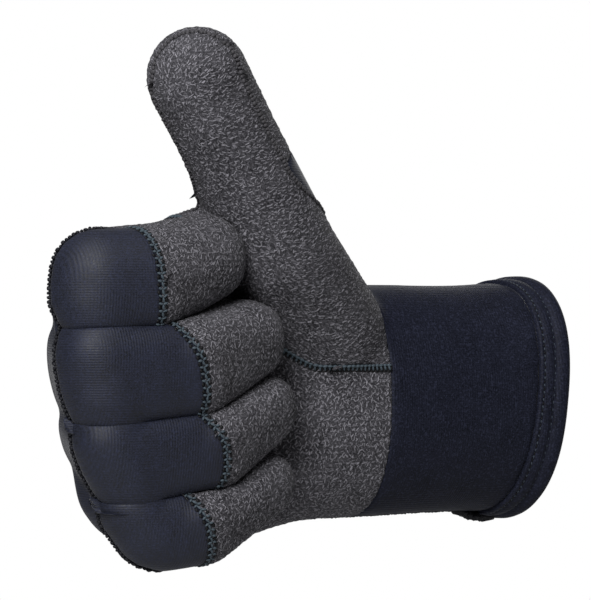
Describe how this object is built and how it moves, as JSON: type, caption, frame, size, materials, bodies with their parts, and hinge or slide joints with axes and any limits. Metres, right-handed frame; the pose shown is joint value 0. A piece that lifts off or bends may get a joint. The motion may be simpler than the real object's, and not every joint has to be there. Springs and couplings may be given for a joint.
{
  "type": "diving glove",
  "caption": "Right-hand neoprene diving glove in its worn form: thumb up, fingers closed in a loose fist, navy back and cuff, grey textured palm, thumb and fingertips.",
  "frame": {"origin": "centre of the cuff's mouth, where the wrist goes in", "axes": "+X out of the glove through the cuff, +Z towards the thumb, -Y towards the palm side"},
  "size_m": [0.1863, 0.0778, 0.1571],
  "materials": {
    "navy_jersey": "fine ribbed nylon jersey on neoprene, soft sheen",
    "navy_cuff_jersey": "flat nylon jersey on neoprene, matt",
    "grey_grip_fabric": "coarse knobbly grip fabric on neoprene"
  },
  "bodies": {
    "root": {"cuff": "navy_cuff_jersey", "cuff_hem": "navy_cuff_jersey", "hand_back": "navy_jersey", "palm": "grey_grip_fabric", "thumb_panel": "grey_grip_fabric", "thumb_tip_back": "grey_grip_fabric", "finger_back_index": "navy_jersey", "fingertip_index": "grey_grip_fabric", "finger_back_middle": "navy_jersey", "fingertip_middle": "grey_grip_fabric", "finger_back_ring": "navy_jersey", "fingertip_ring": "grey_grip_fabric", "finger_back_little": "navy_jersey", "fingertip_little": "grey_grip_fabric"}
  },
  "joints": []
}
